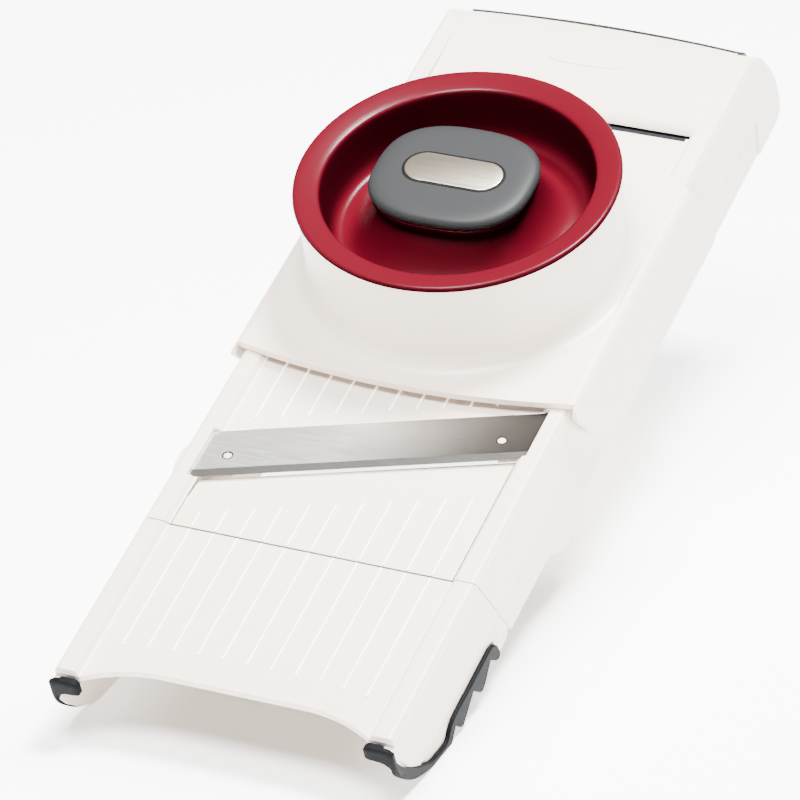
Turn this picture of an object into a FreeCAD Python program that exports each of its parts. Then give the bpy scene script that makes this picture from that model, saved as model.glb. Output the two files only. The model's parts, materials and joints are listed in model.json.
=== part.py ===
import FreeCAD, Part
import os
import re
import Sketcher

# Mandoline slicer on its fold-out stand, in millimetres.
# Every piece is drawn in the deck's own frame: x across, y along the deck towards the handle, z up from the
# food deck, with the origin in the middle of the fold joint. One shared placement then tips the whole object
# up by `tilt` and sets it down on its feet, with +Z up.

SIZES = [
    ("tilt", 17.5, "slope of the deck above the table, degrees"),
    ("origin_drop", 50.8, "height of the fold joint above the table"),
    ("origin_back", 0.0, "joint line to the middle of the footprint"),
    ("deck_half", 55.7, "half width of the food deck"),
    ("deck_thick", 2.4, "deck thickness"),
    ("rail_slope", 2.3, "slope from the deck's edge out to the top of a rail"),
    ("rail_rise", 2.7, "rail top above the deck"),
    ("rail_depth", 3.2, "rail underside below the deck face"),
    ("wall_step", 9.8, "outside of a side wall beyond the deck's edge"),
    ("wall_thick", 2.5, "side wall thickness"),
    ("wall_depth", 44.4, "side wall below the deck face"),
    ("shoulder", 2.2, "round on the top outer edge of a wall"),
    ("crease_depth", 27.2, "retaining step below the deck face"),
    ("crease_step", 0.8, "depth of the retaining step"),
    ("joint_lead", 1.0, "fold joint line beyond the origin at deck level"),
    ("joint_rake", 0.506, "fold joint slope, y per z"),
    ("joint_gap", 0.4, "gap across the fold joint"),
    ("knuckle", 4.0, "round of the hinge knuckle"),
    ("pin_radius", 1.75, "hinge pin"),
    ("run_gap", 0.05, "running clearance of pins and shafts, radial"),
    ("lug_thick", 2.4, "hinge lug"),
    ("side_gap", 0.3, "working gap between flat faces"),
    ("front_reach", 79.0, "front of the rails before the joint"),
    ("front_edge", 70.4, "front edge of the deck in the middle"),
    ("front_sweep", 6.4, "how far the front corners stand before the middle"),
    ("rib_pitch", 9.5, "spacing of the food ribs"),
    ("rib_width", 0.7, "food rib width"),
    ("rib_rise", 0.35, "food rib height"),
    ("blade_mid", 46.0, "cutting edge beyond the joint, on the middle plane"),
    ("blade_skew", 0.353, "blade skew, y per x"),
    ("blade_reach", 24.4, "blade plate along the deck"),
    ("blade_lap", 3.3, "how far the blade runs into each rail"),
    ("blade_thick", 0.8, "blade plate thickness"),
    ("blade_top", 1.3, "top of the blade above the deck"),
    ("bevel", 3.4, "width of the ground bevel"),
    ("blade_hole", 2.15, "radius of a blade locating hole"),
    ("peg_radius", 1.55, "radius of a blade locating peg"),
    ("peg_back", 10.35, "blade pegs behind the cutting edge"),
    ("ramp_start", 1.6, "near edge of the moving ramp"),
    ("lip_reach", 10.0, "sloping lip before the cutting edge"),
    ("lip_drop", 2.0, "drop of the lip at the cutting edge"),
    ("lip_under", 1.0, "lip past the cutting edge"),
    ("lip_thick", 1.8, "lip thickness"),
    ("ramp_travel", 6.0, "largest slice thickness"),
    ("deck_end", 251.7, "far edge of the upper deck"),
    ("dial_y", 36.0, "thickness dial centre, along the deck"),
    ("dial_z", -13.3, "thickness dial centre, below the deck"),
    ("dial_radius", 13.3, "thickness dial"),
    ("dial_proud", 2.1, "dial face outside the wall"),
    ("shaft_radius", 2.5, "cam shaft"),
    ("cam_high", 10.4, "largest cam radius"),
    ("cam_thick", 5.0, "cam thickness"),
    ("cam_left_x", 12.0, "left cam, across"),
    ("cam_inset", 12.2, "right cam inside the deck's edge"),
    ("cam_turn", 240.0, "dial turn from thinnest to thickest, degrees"),
    ("handle_start", 257.0, "near lip of the handle cover"),
    ("cheek_thick", 8.0, "cheek and wall beside the handle"),
    ("handle_bulge", 4.0, "handle swell in the middle"),
    ("cover_thick", 2.2, "handle cover thickness"),
    ("carriage_y", 159.8, "middle of the carriage"),
    ("skirt_gap", 2.5, "carriage skirt outside the side wall, past the dial"),
    ("skirt_corner", 5.0, "round of the carriage's long top edges"),
    ("skirt_thick", 2.2, "carriage skirt thickness"),
    ("skirt_depth", 34.0, "carriage skirt below the deck face"),
    ("plate_thick", 2.6, "carriage plate thickness"),
    ("slide_gap", 0.4, "gap between the carriage and the rails"),
    ("collar_inset", 8.9, "outside of the collar inside the outside of a skirt"),
    ("collar_wall", 3.9, "collar wall"),
    ("collar_top", 43.2, "top of the collar above the deck"),
    ("collar_fillet", 9.0, "round at the foot of the collar"),
    ("rim_over", 1.1, "pusher rim beyond the collar"),
    ("rim_z", 46.1, "pusher rim edge above the deck"),
    ("cup_gap", 0.5, "pusher cup inside the collar, radial"),
    ("cup_wall", 2.6, "pusher cup floor thickness"),
    ("lip_inset", 4.5, "inner edge of the pusher's flared lip inside the cup's outside"),
    ("lip_fall", 2.2, "fall of the flared lip from the rim to its inner edge"),
    ("cup_floor", 30.0, "pusher cup floor above the deck"),
    ("cup_base", 9.4, "underside of the pusher cup"),
    ("post_half_x", 30.2, "half width of the knob pedestal"),
    ("post_half_y", 25.2, "half length of the knob pedestal"),
    ("post_top", 43.0, "top of the knob pedestal"),
    ("knob_half_x", 31.0, "half width of the knob"),
    ("knob_half_y", 26.0, "half length of the knob"),
    ("knob_thick", 8.0, "knob thickness"),
    ("badge_half_x", 20.2, "half length of the knob's metal oval"),
    ("badge_half_y", 7.8, "half width of the knob's metal oval"),
    ("badge_thick", 0.8, "metal oval thickness"),
    ("press_inset", 1.9, "edge of the food plate inside the cup's outside"),
    ("press_thick", 2.0, "food plate thickness"),
    ("spike_length", 4.8, "food spike length"),
    ("spike_radius", 1.1, "food spike radius at its root"),
    ("spike_circle", 38.0, "circle of the outer food spikes"),
    ("stand_y", 232.0, "stand hinge along the deck"),
    ("stand_z", -14.0, "stand hinge below the deck"),
    ("stand_half", 25.5, "half width of the stand"),
    ("stand_bar", 4.5, "stand leg thickness"),
    ("stand_lean", 8.0, "stand leaning outwards from the vertical, degrees"),
    ("stand_pin", 2.0, "stand hinge pin radius"),
    ("foot_thick", 3.0, "rubber under the stand"),
]

COUNT_RIBS = 11

# Places and radii that follow from the sizes; each may use the ones below it.
DERIVED = {
    "rim_radius": "(collar_outer + rim_over)",
    "lip_radius": "(cup_radius - lip_inset)",
    "press_radius": "(cup_radius - press_inset)",
    "cup_radius": "(collar_inner - cup_gap)",
    "collar_inner": "(collar_outer - collar_wall)",
    "collar_outer": "(wall_outer + skirt_gap + skirt_thick - collar_inset)",
    "rail_inner": "(deck_half + rail_slope)",
    "wall_outer": "(deck_half + wall_step)",
}

V = FreeCAD.Vector
doc = FreeCAD.newDocument("mandoline")
sheet = doc.addObject("Spreadsheet::Sheet", "Sizes")
for row, (alias, number, note) in enumerate(SIZES, 1):
    sheet.set(f"A{row}", alias)
    sheet.set(f"B{row}", str(number))
    sheet.set(f"C{row}", note)
    sheet.setAlias(f"B{row}", alias)
doc.recompute()

ALIASES = [alias for alias, number, note in SIZES]
WORDS = re.compile(r"\b(" + "|".join(sorted(ALIASES, key=len, reverse=True)) + r")\b")


def spelled(text):
    """The expression with each derived place written out in sizes."""
    for name, meaning in DERIVED.items():
        text = re.sub(rf"\b{name}\b", meaning, text)
    return text


def bound(text):
    """The expression with each alias pointing at the sheet."""
    return WORDS.sub(r"Sizes.\1", spelled(text))


def value(text):
    """The number that an expression in sheet aliases stands for."""
    answer = sheet.evalExpression(spelled(text))
    return float(getattr(answer, "Value", answer))


def plane(body, role):
    return next(item for item in body.Origin.OriginFeatures if item.Role == role)


def new_body(name):
    return doc.addObject("PartDesign::Body", name)


def draw(body, role, loops, lift="0"):
    """A sketch on one of the body's origin planes, raised along its normal by `lift`.

    A loop is a list of corners (u, v), or (u, v, through_u, through_v) where the edge to the next corner is an
    arc through a third point; a circle is ("circle", u, v, radius). All are expressions."""
    sketch = body.newObject("Sketcher::SketchObject", body.Name + "_sketch")
    sketch.AttachmentSupport = [(plane(body, role), "")]
    sketch.MapMode = "FlatFace"
    sketch.AttachmentOffset = FreeCAD.Placement(V(0, 0, value(lift)), FreeCAD.Rotation())
    sketch.setExpression("AttachmentOffset.Base.z", bound(lift))

    constraints = []
    formulas = []

    def pin(geometry, point, u, v):
        for kind, text in (("DistanceX", u), ("DistanceY", v)):
            formulas.append((len(constraints), text))
            constraints.append(Sketcher.Constraint(kind, -1, 1, geometry, point, value(text)))

    for loop in loops:
        if loop[0] == "circle":
            centre = V(value(loop[1]), value(loop[2]), 0)
            ring = sketch.addGeometry(Part.Circle(centre, V(0, 0, 1), value(loop[3])), False)
            pin(ring, 3, loop[1], loop[2])
            formulas.append((len(constraints), loop[3]))
            constraints.append(Sketcher.Constraint("Radius", ring, value(loop[3])))
            continue
        corners = [V(value(corner[0]), value(corner[1]), 0) for corner in loop]
        edges = []
        ends = []
        for number, corner in enumerate(loop):
            start = corners[number]
            end = corners[(number + 1) % len(loop)]
            first = 1
            if len(corner) == 4:
                # A sketch counts every arc anticlockwise.
                middle = V(value(corner[2]), value(corner[3]), 0)
                edge = sketch.addGeometry(Part.Arc(start, middle, end), False)
                first = 1 if (middle - start).cross(end - start).z > 0 else 2
                mark = sketch.addGeometry(Part.Point(middle), True)
                pin(mark, 1, corner[2], corner[3])
                constraints.append(Sketcher.Constraint("PointOnObject", mark, 1, edge))
            else:
                edge = sketch.addGeometry(Part.LineSegment(start, end), False)
            pin(edge, first, corner[0], corner[1])
            edges.append(edge)
            ends.append(first)
        for number, edge in enumerate(edges):
            after = (number + 1) % len(loop)
            joined = Sketcher.Constraint("Coincident", edge, 3 - ends[number], edges[after], ends[after])
            constraints.append(joined)
    sketch.addConstraint(constraints)
    for number, text in formulas:
        sketch.setExpression(f"Constraints[{number}]", bound(text))
    doc.recompute()
    return sketch


def pad(body, sketch, length, backward=False, direction=None):
    feature = body.newObject("PartDesign::Pad", body.Name + "_pad")
    feature.Profile = sketch
    feature.Reversed = backward
    feature.setExpression("Length", bound(length))
    if direction:
        feature.UseCustomVector = True
        feature.Direction = V(*[value(text) for text in direction])
        feature.AlongSketchNormal = True
        for axis, text in zip("xyz", direction):
            feature.setExpression(f"Direction.{axis}", bound(text))
    doc.recompute()
    return feature


def pocket(body, sketch, length=None, backward=False):
    """Cut the sketch out over `length`, or right through both ways, and see that something was cut."""
    before = body.Shape.Volume
    feature = body.newObject("PartDesign::Pocket", body.Name + "_pocket")
    feature.Profile = sketch
    feature.Reversed = backward
    if length:
        feature.setExpression("Length", bound(length))
    else:
        feature.Type = "ThroughAll"
        feature.SideType = "Symmetric"
    doc.recompute()
    if not body.Shape.Volume < before - 1e-3:
        raise ValueError(f"{body.Name}: a pocket removed nothing")
    return feature


def revolve(body, sketch, cut=False):
    """Turn the sketch about its own vertical axis."""
    kind = "PartDesign::Groove" if cut else "PartDesign::Revolution"
    feature = body.newObject(kind, body.Name + "_turn")
    feature.Profile = sketch
    feature.ReferenceAxis = (sketch, ["V_Axis"])
    feature.Angle = 360
    doc.recompute()
    return feature


def pad_twice(body, loop, inner, thickness):
    """The same side-view outline on the right and the left, `inner` from the middle plane."""
    pad(body, draw(body, "YZ_Plane", [loop], inner), thickness)
    pad(body, draw(body, "YZ_Plane", [loop], f"-({inner}) - ({thickness})"), thickness)


def fillet(body, radius, chosen):
    """Round the edges of the body's tip that `chosen` accepts."""
    tip = body.Tip
    names = [f"Edge{number}" for number, edge in enumerate(tip.Shape.Edges, 1) if chosen(edge)]
    if not names:
        raise ValueError(f"{body.Name}: no edge to round")
    feature = body.newObject("PartDesign::Fillet", body.Name + "_round")
    feature.Base = (tip, names)
    feature.setExpression("Radius", bound(radius))
    doc.recompute()
    return feature


def both(loop):
    """A loop on the right and its mirror image on the left."""
    signs = ("-1", "1", "-1", "1")
    return [loop, [tuple(f"{s} * ({c})" for s, c in zip(signs, corner)) for corner in loop]]


def rounded(half_x, half_y, radius, y="0"):
    """Corners of a rounded rectangle about (0, y)."""
    bend = f"({radius}) * (1 - sqrt(0.5))"
    loop = []
    for sx, sy, first in (("", "", 0), ("-", "", 1), ("-", "-", 0), ("", "-", 1)):
        wide = (f"{sx}({half_x})", f"{y} + {sy}(({half_y}) - ({radius}))")
        long = (f"{sx}(({half_x}) - ({radius}))", f"{y} + {sy}({half_y})")
        middle = (f"{sx}(({half_x}) - {bend})", f"{y} + {sy}(({half_y}) - {bend})")
        start, end = (long, wide) if first else (wide, long)
        loop += [start + middle, end]
    return loop


BLADE_HALF = "(deck_half + blade_lap)"
SKIRT = "(wall_outer + skirt_gap + skirt_thick)"
HANDLE_HALF = "(wall_outer - cheek_thick)"
CAM_RIGHT = "(deck_half - cam_inset)"


def block(x0, x1, y0, y1):
    """Corners of a rectangle."""
    return [(x0, y0), (x1, y0), (x1, y1), (x0, y1)]


def joint_y(z, gap="0"):
    """The fold joint's place along the deck at a height, moved along the deck by a gap."""
    return f"joint_lead - joint_rake * ({z}) + {gap}"


def skewed(offset, x):
    """A point along the deck that follows the blade's skew: `offset` behind the cutting edge, at x."""
    return f"blade_mid + ({offset}) + blade_skew * ({x})"


SUBPARTS = []


def finish(label, thing):
    """Tip the piece up with the object, give it its file's name and keep it for writing."""
    thing.Label = label
    thing.Placement = FreeCAD.Placement(V(0, 0, 0), FreeCAD.Rotation(V(1, 0, 0), value("tilt")))
    thing.setExpression("Placement.Rotation.Angle", bound("tilt"))
    thing.setExpression("Placement.Base.y", bound("origin_back"))
    thing.setExpression("Placement.Base.z", bound("origin_drop"))
    SUBPARTS.append(thing)


# The hinge of the fold joint sits in the bottom corner of the near walls.
HINGE_Z = "knuckle - wall_depth"
HINGE_Y = f"joint_lead - joint_rake * ({HINGE_Z}) - knuckle * sqrt(1 + joint_rake ^ 2)"


def add_ribs(body, start, end, z="-0.1"):
    """Thin food ribs along the deck; `start` and `end` give their ends at a place across it."""
    loops = []
    for number in range(COUNT_RIBS):
        x = f"({number - (COUNT_RIBS - 1) // 2} * rib_pitch)"
        left = f"{x} - rib_width / 2"
        right = f"{x} + rib_width / 2"
        loops.append(block(left, right, start(x), end(x)))
    sketch = draw(body, "XY_Plane", loops, z)
    return pad(body, sketch, f"rib_rise - ({z})")


# ---------------------------------------------------------------- main frame
def wall_end():
    """Far end of a side wall, from its top edge round to its bottom edge, as a rounded handle cheek."""
    return [
        ("handle_start + 38", "rail_rise", "handle_start + 47.7", "rail_rise - 2.7"),
        ("handle_start + 55", "rail_rise - 10.7", "handle_start + 63.3", "-21.5"),
        ("handle_start + 67", "-36.5", "handle_start + 65.3", "-42.2"),
        ("handle_start + 59.5", "-wall_depth"),
    ]


RAIL = [
    ("wall_outer - wall_thick + 0.5", "rail_rise"),
    ("rail_inner", "rail_rise"),
    ("deck_half + 0.2", "0"),
    ("deck_half + 0.2", "-rail_depth"),
    ("wall_outer - wall_thick + 0.5", "-rail_depth"),
]
BOTTOM = "-wall_depth"


def round_corners(body, x, z, radius):
    """Round the long top edges at (x, z) and (-x, z)."""
    corner = [
        (f"{x} - {radius}", z, f"{x} - {radius} * 0.293", f"{z} - {radius} * 0.293"),
        (x, f"{z} - {radius}"),
        (f"{x} + 1", f"{z} - {radius}"),
        (f"{x} + 1", f"{z} + 1"),
        (f"{x} - {radius}", f"{z} + 1"),
    ]
    pocket(body, draw(body, "XZ_Plane", both(corner)))


def main_frame():
    body = new_body("main_frame")
    deck = [
        ("-deck_half - 0.6", skewed("blade_reach + 0.8", "-deck_half - 0.6")),
        ("deck_half + 0.6", skewed("blade_reach + 0.8", "deck_half + 0.6")),
        ("deck_half + 0.6", "deck_end"),
        ("-deck_half - 0.6", "deck_end"),
    ]
    pad(body, draw(body, "XY_Plane", [deck], "-deck_thick"), "deck_thick")
    pad(body, draw(body, "XZ_Plane", both(RAIL), "1"), "handle_start + 1", True)
    before = [
        (joint_y("4", "joint_gap / 2"), "4"),
        (joint_y("-4", "joint_gap / 2"), "-4"),
        ("-6", "-4"),
        ("-6", "4"),
    ]
    pocket(body, draw(body, "YZ_Plane", [before]))
    wall = [
        (joint_y("rail_rise", "joint_gap / 2"), "rail_rise"),
        *wall_end(),
        ("101.9", BOTTOM),
        ("99.6", f"{BOTTOM} - 2.2"),
        ("100.8", f"{BOTTOM} - 9"),
        ("98.1", f"{BOTTOM} - 10.4"),
        ("79.3", f"{BOTTOM} - 10.4"),
        ("75.6", f"{BOTTOM} - 9"),
        ("64", f"{BOTTOM} - 0.9"),
        ("59.7", BOTTOM),
        (joint_y(BOTTOM, "joint_gap / 2"), BOTTOM),
    ]
    pad_twice(body, wall, "wall_outer - wall_thick", "wall_thick")
    step = [
        (joint_y("-crease_depth", "-1"), "-crease_depth"),
        ("handle_start + 41.5", "-crease_depth"),
        ("handle_start + 41.5", "-wall_depth - 12"),
        (joint_y(BOTTOM, "-1"), "-wall_depth - 12"),
    ]
    pocket(body, draw(body, "YZ_Plane", [step], "wall_outer"), "crease_step")
    pocket(body, draw(body, "YZ_Plane", [step], "-wall_outer"), "crease_step", True)
    cheek = [
        ("deck_end - 2", "rail_rise"),
        *wall_end(),
        ("handle_start + 33", BOTTOM),
        ("deck_end - 2", "-24"),
    ]
    pad_twice(body, cheek, HANDLE_HALF, "cheek_thick - wall_thick + 0.5")
    # Lugs for the fold hinge reach out inside the walls of the front.
    ear_x = "wall_outer - wall_thick - side_gap - lug_thick"
    ear = [
        (f"{HINGE_Y} - 4.5", HINGE_Z, HINGE_Y, f"{HINGE_Z} - 3.6"),
        (f"{HINGE_Y} + 4.5", HINGE_Z),
        ("44", "-38"),
        ("44", "-18"),
        (joint_y("-20", "4"), "-18"),
    ]
    web = [("26", "-40"), ("44", "-38"), ("44", "-18"), ("26", "-18")]
    pad_twice(body, web, ear_x, "lug_thick + side_gap + 0.5")
    pad_twice(body, ear, ear_x, "lug_thick")
    # Cross-member and posts that guide the ramp's legs, and a wall at the far end of the deck.
    half = "(wall_outer - wall_thick + 0.5)"
    pad(body, draw(body, "XY_Plane", [block(f"-{half}", half, "12.5", "15.2")], "-22"), "7")
    pad(body, draw(body, "XY_Plane", both(block("deck_half - 4.7", half, "12.5", "15.2")), "-17"), "17 - 10.5")
    pad(body, draw(body, "XY_Plane", both(block("deck_half - 4.7", half, "24", "26.7")), "-17"), "17 - 10.5")
    back = block(f"-{half}", half, "deck_end - 2.4", "deck_end")
    pad(body, draw(body, "XY_Plane", [back], "-12"), "12 - 1")
    # Ledges under the ends of the blade and the locating pegs.
    for sign in ("-1", "1"):
        inner = f"{sign} * ({BLADE_HALF} - 12.5)"
        outer = f"{sign} * {half}"
        ledge = [
            (inner, skewed("6", inner)),
            (outer, skewed("6", outer)),
            (outer, skewed("blade_reach + 1.2", outer)),
            (inner, skewed("blade_reach + 1.2", inner)),
        ]
        pad(body, draw(body, "XY_Plane", [ledge], "-6"), "6 + blade_top - blade_thick")
    pegs = [("circle", x, skewed("peg_back", x), "peg_radius") for x in (f"10 - {BLADE_HALF}", f"{BLADE_HALF} - 12")]
    pad(body, draw(body, "XY_Plane", pegs, "blade_top - blade_thick - 0.5"), "0.5 + blade_thick - 0.15")
    # Bearings of the cam shaft and the opening for the dial.
    hub = [("circle", "dial_y", "dial_z", "dial_radius + 2.6")]
    pad(body, draw(body, "YZ_Plane", hub, "-(wall_outer - wall_thick) - 0.3"), "3.8")
    hub = [("circle", "dial_y", "dial_z", "shaft_radius + 3.5")]
    pad(body, draw(body, "YZ_Plane", hub, "wall_outer - wall_thick - 4.2"), "4.7")
    # Seats in the rails for the ends of the blade.
    for sign in ("-1", "1"):
        near = f"{sign} * ({BLADE_HALF} - 4.3)"
        far = f"{sign} * ({BLADE_HALF} + 0.25)"
        seat = [
            (near, skewed("-0.6", near)),
            (far, skewed("-0.6", far)),
            (far, skewed("blade_reach + 0.3", far)),
            (near, skewed("blade_reach + 0.3", near)),
        ]
        pocket(body, draw(body, "XY_Plane", [seat], "blade_top - blade_thick"), "6", True)
    well = [("circle", "dial_y", "dial_z", "dial_radius + side_gap")]
    pocket(body, draw(body, "YZ_Plane", well, "-wall_outer - 1"), "wall_thick + 1", True)
    bore = [("circle", "dial_y", "dial_z", "shaft_radius + run_gap")]
    pocket(body, draw(body, "YZ_Plane", bore, "-wall_outer"), "2 * wall_outer - wall_thick + 0.6", True)
    # Lugs and pin bore of the stand, and the bore of the fold hinge.
    lug = [
        ("stand_y - 11", "-deck_thick + 0.5"),
        ("stand_y - 6", "stand_z", "stand_y", "stand_z - 6"),
        ("stand_y + 6", "stand_z"),
        ("stand_y + 11", "-deck_thick + 0.5"),
    ]
    pad_twice(body, lug, "stand_half + side_gap", "4")
    pocket(body, draw(body, "YZ_Plane", [("circle", "stand_y", "stand_z", "stand_pin")], "-40"), "80", True)
    hinge = [("circle", HINGE_Y, HINGE_Z, "pin_radius + run_gap")]
    pocket(body, draw(body, "YZ_Plane", hinge, "-wall_outer"), "2 * wall_outer", True)
    add_ribs(body, lambda x: skewed("blade_reach + 7.2", x), lambda x: "205")
    round_corners(body, "wall_outer", "rail_rise", "shoulder")
    finish("main_frame", body)


# ---------------------------------------------------------------- folding front
def front_runway():
    body = new_body("front_runway")
    joint = joint_y("0", "-joint_gap / 2")
    side = "(deck_half + 0.6)"
    deck = [
        (f"-{side}", joint),
        (f"-{side}", "-front_reach", "-0.8 * deck_half", "-front_edge - 0.45 * front_sweep"),
        ("-0.5 * deck_half", "-front_edge"),
        ("0.5 * deck_half", "-front_edge", "0.8 * deck_half", "-front_edge - 0.45 * front_sweep"),
        (side, "-front_reach"),
        (side, joint),
    ]
    pad(body, draw(body, "XY_Plane", [deck], "-deck_thick"), "deck_thick")
    pad(body, draw(body, "XZ_Plane", both(RAIL), "front_reach"), "front_reach + 4", True)
    beyond = [
        (joint_y("4", "-joint_gap / 2"), "4"),
        (joint_y("-4", "-joint_gap / 2"), "-4"),
        ("8", "-4"),
        ("8", "4"),
    ]
    pocket(body, draw(body, "YZ_Plane", [beyond]))
    tangent = "knuckle / sqrt(1 + joint_rake ^ 2)"
    wall = [
        (joint_y("rail_rise", "-joint_gap / 2"), "rail_rise"),
        ("-front_reach", "rail_rise"),
        ("-front_reach", BROW_Z),
        *FOOT_LINE,
        ("7.5", "-34.5"),
        ("10.5", BOTTOM),
        (HINGE_Y, BOTTOM, f"{HINGE_Y} + knuckle * 0.7", f"{HINGE_Z} - knuckle * 0.714"),
        (f"{HINGE_Y} + {tangent} - 0.2", f"{HINGE_Z} + joint_rake * {tangent}"),
    ]
    pad_twice(body, wall, "wall_outer - wall_thick", "wall_thick")
    # Inside the rubber a thinner white core runs down almost to its tips, and a brow fills above the dark toe.
    core = [
        *FOOT_LINE[1:],
        ("4.6", "-36"),
        ("7.4", "-42"),
        ("1.1", "-36.7"),
        ("-5.5", "-41.6"),
        ("-9.4", "-42.4"),
        ("-15.6", "-36"),
        ("-26.3", "-41.3"),
        ("-28", "-41.4"),
        ("-33.1", "-35.9"),
        ("-38", f"{floor_z('-38')} + 1"),
        ("21 - front_reach", f"{floor_z('21 - front_reach')} + 1", "12 - front_reach", f"{floor_z('12 - front_reach')} + 3.54026"),
        ("6.4 - front_reach", "-19.6"),
    ]
    pad_twice(body, core, "wall_outer - wall_thick", "wall_thick - 1.3")
    brow = [
        ("-front_reach", "-1.5"),
        ("-front_reach", BROW_Z),
        ("-front_reach - 2.2", BROW_Z, "-front_reach - 3.5", "-6.4"),
        ("-front_reach - 4", "-1.5"),
    ]
    pad_twice(body, brow, "wall_outer - wall_thick - 1", "wall_thick + 1")
    below = TOE_TOP + [("wall_outer + 3.5", "-16"), ("wall_outer - 11.5", "-16")]
    for loop in both(below):
        pocket(body, draw(body, "XZ_Plane", [loop], "front_reach"), "6", True)
    step = [
        ("-62", "-crease_depth"),
        (joint_y("-crease_depth", "2"), "-crease_depth"),
        (joint_y(BOTTOM, "4"), "-wall_depth - 2"),
        ("-62", "-wall_depth - 2"),
    ]
    pocket(body, draw(body, "YZ_Plane", [step], "wall_outer"), "crease_step")
    pocket(body, draw(body, "YZ_Plane", [step], "-wall_outer"), "crease_step", True)
    pin = [("circle", HINGE_Y, HINGE_Z, "pin_radius")]
    pocket(body, draw(body, "YZ_Plane", pin, "-wall_outer"), "2 * wall_outer", True)
    add_ribs(body, lambda x: f"-57.4 - 0.0012 * {x} ^ 2", lambda x: f"{joint} - 0.3")
    round_corners(body, "wall_outer", "rail_rise", "shoulder")
    finish("front_runway", body)


def floor_z(y):
    """Height of the table under a place along the deck."""
    return f"(-origin_drop - ({y}) * sin(tilt)) / cos(tilt)"


# Where the dark toe starts below the white end of a wall.
BROW_Z = "-11.4"
# Lower edge of the white wall of the front, where the rubber foot begins.
FOOT_LINE = [
    ("3.2 - front_reach", BROW_Z),
    ("7.3 - front_reach", "-18.7"),
    ("14.3 - front_reach", "-26.5"),
    ("23.3 - front_reach", f"{floor_z('23.3 - front_reach')} + 1.70314"),
    ("-49", "-35"),
    ("-41", "-37.4"),
    ("-34", "-33"),
    ("2", "-33"),
]
# Outer line of the rubber, from the toe to the hook by the hinge.
SOLE = [
    ("-2.2 - front_reach", BROW_Z, "0 - front_reach", "-16.5"),
    ("3.5 - front_reach", "-20.5", "11 - front_reach", f"{floor_z('11 - front_reach')} + 2.22496"),
    ("21 - front_reach", floor_z("21 - front_reach")),
    ("-38", floor_z("-38")),
    ("-33.1", "-36.9"),
    ("-28.1", "-42.6"),
    ("-26.1", "-42.5"),
    ("-15.6", "-37"),
    ("-9.6", "-43.6"),
    ("-5.3", "-42.7"),
    ("1.1", "-37.7"),
    ("7.5", "-43.5"),
    ("9.4", "-42.6"),
    ("5.6", "-34.4"),
]
# Upper edge of the dark toe, and the lower edge of its thin inner end, across and up.
TOE_TOP = [
    ("(wall_outer - 11.5)", "-1.2"),
    ("(wall_outer - 8)", "-2"),
    ("(wall_outer - 5)", "-4.8"),
    ("(wall_outer - 2.5)", "-8.6"),
    ("(wall_outer + 0.5)", "-11.6"),
    ("(wall_outer + 3.5)", "-12.6"),
]
TOE_LOW = [
    ("(deck_half - 1.7)", "-5.5"),
    ("(deck_half + 1.8)", "-7"),
    ("(deck_half + 4.8)", "-12"),
    ("(deck_half + 7.3)", "-19"),
    ("(deck_half + 8.5)", "-26"),
]


def reversed_line(line):
    """The same line of corners and arcs walked the other way."""
    points = [corner[:2] for corner in line][::-1]
    bends = [corner[2:] for corner in line[:-1]][::-1]
    return [point + bend for point, bend in zip(points, bends + [()])]


def toe():
    """Side view of the layer that covers the front end of a wall."""
    return [
        ("-front_reach", "-1.5"),
        ("-front_reach", BROW_Z),
        ("3.2 - front_reach", BROW_Z),
        ("7.3 - front_reach", "-18.7"),
        ("3.5 - front_reach", "-20.5", "0 - front_reach", "-16.5"),
        ("-2.2 - front_reach", BROW_Z, "-3.5 - front_reach", "-6.4"),
        ("-4 - front_reach", "-1.5"),
    ]


def foot_grip(side, sign):
    body = new_body("foot_grip_" + side)
    grip = [*FOOT_LINE, *reversed_line(SOLE)]
    if sign > 0:
        strip_x, toe_x = "wall_outer - 1.3", "deck_half + 0.3"
    else:
        strip_x, toe_x = "-wall_outer - 0.8", "-wall_outer - 1.9"
    pad(body, draw(body, "YZ_Plane", [grip], strip_x), "2.1")
    pad(body, draw(body, "YZ_Plane", [toe()], toe_x), "wall_outer - deck_half + 1.6")
    inner, outer = f"{sign} * (deck_half - 1.7)", f"{sign} * (wall_outer + 3.5)"
    upper = [(f"{sign} * {x}", z) for x, z in TOE_TOP] + [(outer, "4"), (inner, "4")]
    lower = [(f"{sign} * {x}", z) for x, z in TOE_LOW] + [(inner, "-26")]
    pocket(body, draw(body, "XZ_Plane", [upper]))
    pocket(body, draw(body, "XZ_Plane", [lower], "front_reach"), "8", True)
    finish("foot_grip_" + side, body)


def cylinder_x(name, y, z, radius, x0, x1):
    body = new_body(name)
    pad(body, draw(body, "YZ_Plane", [("circle", y, z, radius)], x0), f"({x1}) - ({x0})")
    finish(name, body)


# ---------------------------------------------------------------- moving ramp and its cams
def ramp_plate():
    body = new_body("ramp_plate")
    half = "(deck_half + 0.2 - side_gap)"
    near = skewed("-lip_reach", f"-{half}")
    plate = [
        (f"-{half}", "ramp_start"),
        (half, "ramp_start"),
        (half, skewed("-lip_reach", half)),
        (f"-{half}", near),
    ]
    pad(body, draw(body, "XY_Plane", [plate], "-deck_thick"), "deck_thick")
    tip = skewed("lip_under", f"-{half}")
    lip = [(near, "0"), (tip, "-lip_drop"), (tip, "-lip_drop - lip_thick"), (near, "-deck_thick")]
    pad(body, draw(body, "YZ_Plane", [lip], f"-{half}"), f"2 * {half}", False, ("1", "blade_skew", "0"))
    legs = both(block("deck_half - 4.4", "deck_half - 1.4", "15.2 + side_gap", "24 - side_gap"))
    pad(body, draw(body, "XY_Plane", legs, "-20"), "20 - 2.2")
    add_ribs(body, lambda x: "ramp_start + 0.3", lambda x: skewed("-19.3", x))
    finish("ramp_plate", body)


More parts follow.
